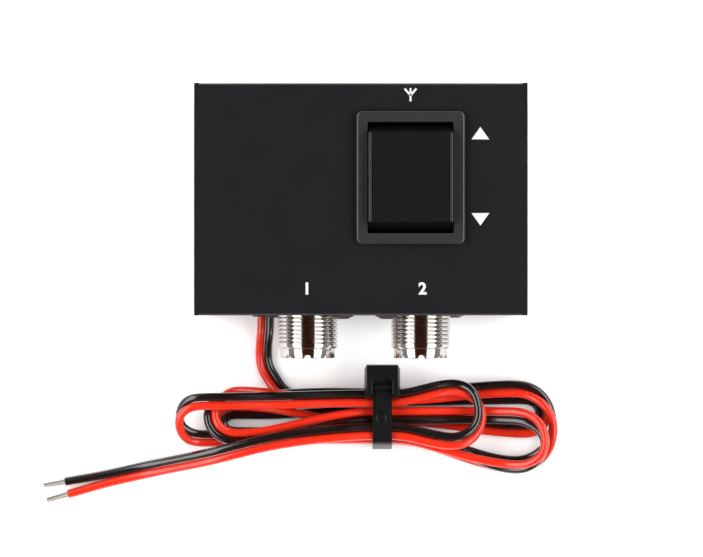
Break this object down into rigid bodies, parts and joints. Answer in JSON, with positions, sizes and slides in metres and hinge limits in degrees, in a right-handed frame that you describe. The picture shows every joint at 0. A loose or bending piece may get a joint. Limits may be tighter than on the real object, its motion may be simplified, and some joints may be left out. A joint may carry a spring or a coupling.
{
  "type": "antenna control unit",
  "caption": "Folded sheet-metal control box with a momentary rocker switch, threaded UHF sockets on one wall and a tied twin power lead.",
  "frame": {"origin": "centre of the back face that the box rests on", "axes": "+Z out of the front panel, +X along the panel with the switch on the +X side, -Y the way the sockets point"},
  "size_m": [0.1403, 0.1117, 0.043],
  "materials": {
    "enamel": "satin black enamel on folded aluminium sheet",
    "black_steel": "black-finished steel",
    "nylon": "fine matt moulded black nylon",
    "brass": "bright brass and tinned brass contacts",
    "steel": "plain steel",
    "nickel": "bright nickel plate on turned brass",
    "insulator": "off-white moulded dielectric",
    "board": "green solder mask on glass-epoxy board",
    "component": "moulded electronic components",
    "ceramic": "dipped ceramic capacitor",
    "rubber": "black rubber grommet",
    "red_pvc": "soft glossy red PVC insulation",
    "black_pvc": "soft glossy black PVC insulation",
    "tinned": "tinned copper strands",
    "tie_nylon": "smooth black nylon cable tie"
  },
  "bodies": {
    "case": {"front_shell": "enamel", "back_cover": "enamel", "cover_screws": "black_steel", "switch_housing": "nylon", "switch_terminals": "brass", "left_jack_shell": "nickel", "left_jack_insulator": "insulator", "left_jack_contact": "brass", "left_jack_rivets": "black_steel", "right_jack_shell": "nickel", "right_jack_insulator": "insulator", "right_jack_contact": "brass", "right_jack_rivets": "black_steel", "ground_lug": "nickel", "circuit_board": "board", "voltage_regulator": "component", "regulator_screw": "steel", "regulator_nut": "steel", "filter_capacitors": "component", "rf_choke": "component", "diodes": "component", "blocking_capacitor": "ceramic", "rf_wire": "insulator", "ground_wire": "component", "grommet": "rubber", "inner_tie": "nylon", "inner_lead_red": "red_pvc", "inner_lead_black": "black_pvc", "lead_start_red": "red_pvc", "lead_start_black": "black_pvc", "hank_red": "red_pvc", "hank_black": "black_pvc", "lead_end_red": "red_pvc", "lead_end_black": "black_pvc", "lead_tips": "tinned", "cable_tie": "tie_nylon"},
    "rocker": {"rocker": "nylon", "rocker_plungers": "brass", "plunger_springs": "steel"},
    "left_contact": {"left_contact": "brass"},
    "right_contact": {"right_contact": "brass"}
  },
  "joints": [
    {"name": "rocker_hinge", "type": "hinge", "parent": "case", "child": "rocker", "pos_m": [0.0128, 0.0055, 0.034], "axis": [1, 0, 0], "range_deg": [-10, 10], "stiffness_Nm_per_rad": 0.25},
    {"name": "left_contact_hinge", "type": "hinge", "parent": "case", "child": "left_contact", "pos_m": [0.0076, 0.0055, 0.0231], "axis": [1, 0, 0], "range_deg": [-7, 7]},
    {"name": "right_contact_hinge", "type": "hinge", "parent": "case", "child": "right_contact", "pos_m": [0.018, 0.0055, 0.0231], "axis": [1, 0, 0], "range_deg": [-7, 7]}
  ],
  "couplings": [
    {"joint": "left_contact_hinge", "follows": "rocker_hinge", "ratio": -0.7},
    {"joint": "right_contact_hinge", "follows": "rocker_hinge", "ratio": -0.7}
  ]
}
